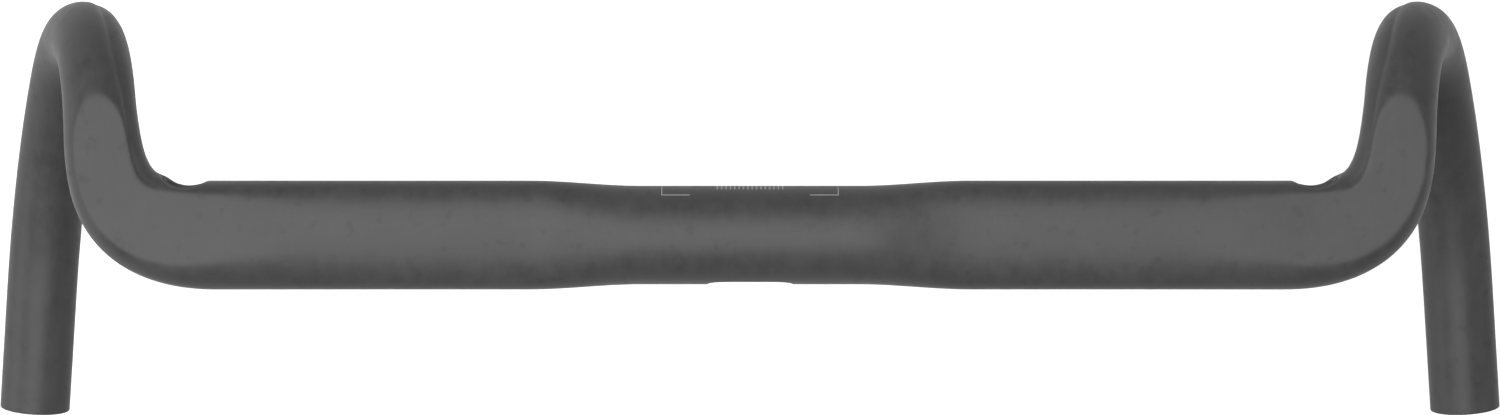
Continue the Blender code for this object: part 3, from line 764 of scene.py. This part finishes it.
def add_guide(side, word):
    """A tube whose profile of (distance, radius) is carried along the guide's path, square to it."""
    path = np.concatenate([bezier(GUIDE_ENTRY, 25), GUIDE_RUN, bezier(GUIDE_EXIT, 25)])
    length = np.concatenate([[0], np.cumsum(np.linalg.norm(np.diff(path, axis=0), axis=1))])
    outer, inner = GUIDE_RADIUS, GUIDE_RADIUS - GUIDE_WALL
    walls = [(0.0, outer), (length[-1], outer), (length[-1], inner), (0.0, inner)]
    profile = divided(rounded(walls, GUIDE_EDGE), 2.0)
    tangent = np.gradient(path, length, axis=0)
    centre = np.stack([np.interp(profile[:, 0], length, path[:, i]) for i in range(3)], axis=-1)
    tangent = np.stack([np.interp(profile[:, 0], length, tangent[:, i]) for i in range(3)], axis=-1)
    across = np.cross(tangent, [0.0, 0.0, 1.0])
    across /= np.linalg.norm(across, axis=1, keepdims=True)
    up = np.cross(across, tangent)
    angle = np.radians(np.arange(GUIDE_COLUMNS) * 360 / GUIDE_COLUMNS)[None, :, None]
    spoke = across[:, None] * np.cos(angle) + up[:, None] * np.sin(angle)
    points = (centre[:, None] + spoke * profile[:, 1, None, None]).reshape(-1, 3)
    faces = ring_faces(len(profile), GUIDE_COLUMNS)
    add_piece(f"{word}_guide_tube", mirrored(points, side), [faces], GUIDE_NYLON,
              "bar", [f"{word}_hose_guide"])


for side, word in SIDES_OF_BAR:
    add_guide(side, word)

ring = bpy.data.objects["clamp_ring"]
for place in ring.material_slots:
    place.material = LAMINATE
print("the clamp ring takes", ring.material_slots[0].material.name)

# %% [markdown]
# ## The end plugs
# Each plug is a lathe's and a mould's work, so its pieces are profiles of radius and depth turned round the
# bore's axis: a cap with a moulded groove, a ribbed rubber sleeve that is split along one side, a wedge nut whose
# key runs in that split, and a cap screw. The screw's socket and thread come from making the radius a function of
# the angle as well, six flats for the socket and a helix for the thread, which keeps the screw one closed grid.

# %% Turned pieces
TURNED_COLUMNS = 144
turned_angles = np.radians(np.arange(TURNED_COLUMNS) * 360 / TURNED_COLUMNS)


def from_axis(side, across, up, depth):
    """Points at two distances across the bore's axis, and at a depth inwards from the bar's end."""
    centre, outward, _ = station(np.array([HALF_LENGTH]))
    out = directions(np.array([HALF_LENGTH]))[0]
    centre, out, outward = (mirrored(each[0], side) for each in (centre, out, outward))
    across, up, depth = (each[..., None] for each in np.broadcast_arrays(across, up, depth))
    return centre - out * depth + outward * across + np.cross(out, outward) * up


def add_turned(name, side, radius, depth, angle, faces, finish, body, replaced):
    """A piece from arrays of radius, depth and angle round the bore's axis, with the lay along that axis."""
    radius, depth, angle = np.broadcast_arrays(radius, depth, angle)
    points = from_axis(side, radius * np.cos(angle), radius * np.sin(angle), depth).reshape(-1, 3)
    lay = np.stack([depth, radius * np.cos(angle), radius * np.sin(angle)], axis=-1).reshape(-1, 3)
    add_piece(name, points, faces, finish, body, replaced, lay)


# %% Caps and expanders
CAP_RADIUS, CAP_DEPTHS = BORE - 0.3, (0.3, 5.3)
COUNTERBORE, COUNTERBORE_FLOOR, SCREW_HOLE = 4.7, 3.9, 2.9
EXPANDER_DEPTHS, THROAT, MOUTH, TAPER_AT = (5.6, 21.6), 5.5, 8.0, 13.0
SLOT = math.radians(24.0)
GROOVES, GROOVE_DEPTH = (8.2, 11.2, 14.2, 17.2), 0.45
EXPANDER_EDGE, EXPANDER_STEPS = 0.25, 120


def add_cap(side, word):
    """A disc with a moulded groove in its face, a counterbore for the screw's head and a hole."""
    front, back = CAP_DEPTHS
    corners = [(CAP_RADIUS, front), (7.7, front), (7.5, front + 0.35), (6.9, front + 0.35), (6.7, front),
               (COUNTERBORE, front), (COUNTERBORE, COUNTERBORE_FLOOR), (SCREW_HOLE, COUNTERBORE_FLOOR),
               (SCREW_HOLE, back), (CAP_RADIUS, back)]
    radii = (0.9, 0.15, 0.1, 0.1, 0.15, 0.35, 0.15, 0.15, 0.2, 0.4)
    profile = divided(rounded(corners, radii), 1.0)
    add_turned(f"{word}_cap", side, profile[:, :1], profile[:, 1:], turned_angles[None, :],
               [ring_faces(len(profile), TURNED_COLUMNS)], PLUG_NYLON, f"{word}_plug",
               [f"{word}_plug_cap"])


def add_expander(side, word):
    """A grooved sleeve with a tapering mouth, turned from one side of its slot round to the other."""
    front, back = EXPANDER_DEPTHS
    ribs = [(CAP_RADIUS - drop, groove + step) for groove in GROOVES[::-1]
            for drop, step in ((0.0, 1.6), (GROOVE_DEPTH, 1.4), (GROOVE_DEPTH, 0.2), (0.0, 0.0))]
    corners = [(CAP_RADIUS, front), (THROAT, front), (THROAT, TAPER_AT), (MOUTH, back), (CAP_RADIUS, back)] + ribs
    profile = divided(rounded(corners, EXPANDER_EDGE), 1.2)
    count = len(profile)
    angle = np.linspace(SLOT / 2, 2 * math.pi - SLOT / 2, EXPANDER_STEPS + 1)[:, None]
    ends = [np.arange(count)[None, :], (EXPANDER_STEPS * count + np.arange(count))[None, :]]
    add_turned(f"{word}_expander", side, profile[None, :, 0], profile[None, :, 1], angle,
               [grid_quads(EXPANDER_STEPS + 1, count, [])] + ends, PLUG_RUBBER, f"{word}_plug",
               [f"{word}_plug_expander"])


for side, word in SIDES_OF_BAR:
    add_cap(side, word)
    add_expander(side, word)

# %% Wedge nuts
NUT_DEPTHS, NUT_SLOPE = (14.0, 25.0), (MOUTH - THROAT) / (EXPANDER_DEPTHS[1] - TAPER_AT)
NUT_GAP, NUT_COLUMNS_LEFT = 0.3, 112
KEY_DEPTHS, KEY_TOP, KEY_HALF, KEY_DRAFT, KEY_END = (14.6, 24.4), 8.9, 0.8, 0.06, 0.8
KEY_WIDTHS = (-0.8, -0.74, -0.62, -0.3, 0.0, 0.3, 0.62, 0.74, 0.8)


def add_nut(side, word):
    """A cone with a hole along it, whose columns crowd together where the key rises from it.

    Across the key the columns keep fixed widths, and the surface rises there by the height that is left up to the
    key's top, times a quarter circle at each of the key's ends.
    """
    front, back = NUT_DEPTHS
    fine = np.concatenate([np.linspace(front + 0.3, KEY_DEPTHS[0] + KEY_END, 12),
                           np.linspace(KEY_DEPTHS[0] + KEY_END, KEY_DEPTHS[1] - KEY_END, 12)[1:-1],
                           np.linspace(KEY_DEPTHS[1] - KEY_END, back - 0.3, 12)])
    cone = THROAT - NUT_GAP + NUT_SLOPE * (np.minimum(fine, EXPANDER_DEPTHS[1]) - TAPER_AT)
    cone_radius = np.concatenate([cone[:1] - 0.12, cone[:1] - 0.03, cone, cone[-1:] - 0.08, cone[-1:] - 0.3])
    cone_depth = np.concatenate([[front, front + 0.12], fine, [back - 0.08, back]])
    hole_depth = np.array([back, back - 0.1, back - 0.3, (front + back) / 2, front + 0.3, front + 0.1, front])
    hole_radius = SCREW_HOLE + np.array([0.3, 0.1, 0.0, 0.0, 0.0, 0.1, 0.3])
    radius = np.concatenate([cone_radius, hole_radius])[:, None]
    depth = np.concatenate([cone_depth, hole_depth])[:, None]
    widths = np.array(KEY_WIDTHS)[None, :]
    foot = np.arcsin(KEY_HALF / radius)
    rest = foot + (2 * math.pi - 2 * foot) * np.linspace(0, 1, NUT_COLUMNS_LEFT)[None, 1:-1]
    angle = np.concatenate([np.arcsin(widths / radius), rest], axis=1)
    from_end = np.minimum(depth - KEY_DEPTHS[0], KEY_DEPTHS[1] - depth) / KEY_END
    ends = np.sqrt(1 - (1 - np.clip(from_end, 0, 1)) ** 2)
    ends[len(cone_radius):] = 0.0
    sides = np.clip((KEY_HALF - np.abs(widths)) / KEY_DRAFT, 0, 1)
    across, up = radius * np.cos(angle), radius * np.sin(angle)
    across[:, :len(KEY_WIDTHS)] += (KEY_TOP - across[:, :len(KEY_WIDTHS)]) * ends * sides
    points = from_axis(side, across, up, depth).reshape(-1, 3)
    lay = np.stack([np.broadcast_to(depth, up.shape), across, up], axis=-1).reshape(-1, 3)
    add_piece(f"{word}_nut", points, [ring_faces(*up.shape)], WEDGE_ALUMINIUM, f"{word}_wedge",
              [f"{word}_plug_wedge_nut"], lay)


for side, word in SIDES_OF_BAR:
    add_nut(side, word)

# %% Cap screws
HEAD_RADIUS, HEAD_DEPTHS, SOCKET_RADIUS, SOCKET_FLOOR = 4.2, (0.8, 3.6), 2.3, 2.8
SHANK_RADIUS, SHANK_END, TIP_RADIUS = 2.5, 30.0, 1.7
THREAD_PITCH, THREAD_DEPTH, THREAD_FROM, THREAD_ROWS_APART = 0.8, 0.44, 9.0, 0.1
THREAD_FULL_FROM, THREAD_FULL_TO = 10.0, 28.8


def add_screw(side, word):
    """A screw as rows of radii: a hexagon's for the socket, round ones for the head, a helix's for the thread.

    A hexagon's radius is its flat's distance by the cosine of the angle from the nearest flat's middle, and the
    thread takes half its depth times one less the cosine of the turns since the thread's start.
    """
    top, under = HEAD_DEPTHS
    hexagon = SOCKET_RADIUS * math.cos(math.pi / 6) / np.cos(turned_angles % (math.pi / 3) - math.pi / 6)
    socket = [(0.0, SOCKET_FLOOR), (0.0, 1.9), (0.0, top + 0.2), (0.2, top)]
    head = [(3.3, top), (3.8, top), (4.05, top + 0.08), (4.17, top + 0.2), (HEAD_RADIUS, top + 0.4),
            (HEAD_RADIUS, 2.2), (HEAD_RADIUS, under - 0.3), (4.15, under - 0.1), (4.0, under), (3.2, under),
            (2.75, under), (2.58, under + 0.06), (SHANK_RADIUS, under + 0.25)]
    plain = np.linspace(4.5, THREAD_FROM, 5)[:-1]
    thread = np.concatenate([plain, np.arange(THREAD_FROM, SHANK_END, THREAD_ROWS_APART)])
    turns = thread[:, None] / THREAD_PITCH - turned_angles[None, :] / (2 * math.pi)
    cut = THREAD_DEPTH * (1 - np.cos(2 * math.pi * turns)) / 2
    full = smooth(THREAD_FROM, THREAD_FULL_FROM, thread) * (1 - smooth(THREAD_FULL_TO, SHANK_END, thread))
    cut = cut * full[:, None]
    round_rows = np.array(head)
    radius = np.concatenate([hexagon[None, :] + np.array(socket)[:, :1],
                             np.broadcast_to(round_rows[:, :1], (len(head), TURNED_COLUMNS)),
                             SHANK_RADIUS - cut,
                             np.broadcast_to([[SHANK_RADIUS - 0.02], [TIP_RADIUS]], (2, TURNED_COLUMNS))])
    depth = np.concatenate([np.array(socket)[:, 1], round_rows[:, 1], thread, [SHANK_END, 31.0]])[:, None]
    rows = len(depth)
    caps = [np.arange(TURNED_COLUMNS)[None, :], ((rows - 1) * TURNED_COLUMNS + np.arange(TURNED_COLUMNS))[None, :]]
    add_turned(f"{word}_screw_fine", side, radius, depth, turned_angles[None, :],
               [grid_quads(rows, TURNED_COLUMNS, [])] + caps, SCREW_STEEL, f"{word}_screw",
               [f"{word}_plug_screw"])


for side, word in SIDES_OF_BAR:
    add_screw(side, word)

# %% [markdown]
# ## Floor, light and camera
# A satin black bar is drawn by what it reflects, so the lights are broad and soft: a large panel overhead gives
# the flat tops their even grey and lets the sides fall off, and two weaker panels low at the sides light the
# flanks. The pale floor is bright enough to stay white under the bar.

# %% The stage
FLOOR_Z, FLOOR_REACH, FLOOR_GREY = -0.26, 30.0, 0.5
WORLD_STRENGTH = 0.25
# Each panel: its name, its place and its aim in metres, its size in metres and its power in watts.
PANELS = (
    ("overhead_panel", (-0.5, 0.1, 2.4), (-0.5, 0.1, 0.0), (2.6, 3.6), 235.0),
    ("left_panel", (-2.2, -0.2, 0.6), (0.0, 0.0, 0.0), (1.6, 1.0), 34.0),
    ("right_panel", (2.2, -0.2, 0.6), (0.0, 0.0, 0.0), (1.6, 1.0), 10.0),
)


def add_floor():
    """A wide pale floor below the drops."""
    made = new_finish("pale_floor", grey(FLOOR_GREY), 0.9, specular=0.0)[0]
    mesh = bpy.data.meshes.new("floor")
    corners = [(x * FLOOR_REACH, y * FLOOR_REACH, FLOOR_Z) for x, y in ((-1, -1), (1, -1), (1, 1), (-1, 1))]
    mesh.from_pydata(corners, [], [(0, 1, 2, 3)])
    mesh.materials.append(made)
    floor = bpy.data.objects.new("floor", mesh)
    bpy.context.scene.collection.objects.link(floor)


def add_panel(name, place, aim, size, power):
    """A soft rectangular light at a place, facing a point."""
    light = bpy.data.lights.new(name, "AREA")
    light.shape = "RECTANGLE"
    light.size, light.size_y = size
    light.energy = power
    panel = bpy.data.objects.new(name, light)
    panel.location = place
    direction = np.array(aim, float) - np.array(place, float)
    level = math.hypot(direction[0], direction[1])
    turn = math.atan2(-direction[0], direction[1]) if level else 0.0
    panel.rotation_euler = (math.atan2(level, -direction[2]), 0.0, turn)
    bpy.context.scene.collection.objects.link(panel)


add_floor()
for settings in PANELS:
    add_panel(*settings)

world = bpy.data.worlds.new("studio")
world.use_nodes = True
background = world.node_tree.nodes["Background"]
background.inputs["Color"].default_value = grey(1.0)
background.inputs["Strength"].default_value = WORLD_STRENGTH
bpy.context.scene.world = world
bpy.context.scene.view_settings.view_transform = "Standard"

# %% The camera
CAMERA_HEIGHT, CAMERA_FORWARD, FIELD_WIDTH, SENSOR_WIDTH = 2.0, 0.00887, 0.4832, 36.0

camera_data = bpy.data.cameras.new("camera")
camera_data.sensor_width = SENSOR_WIDTH
camera_data.lens = SENSOR_WIDTH * CAMERA_HEIGHT / FIELD_WIDTH
camera_data.clip_end = 100.0
camera = bpy.data.objects.new("camera", camera_data)
camera.location = (0.0, CAMERA_FORWARD, CAMERA_HEIGHT)
bpy.context.scene.collection.objects.link(camera)
bpy.context.scene.camera = camera
print(f"the lens is {camera_data.lens:.1f} mm")
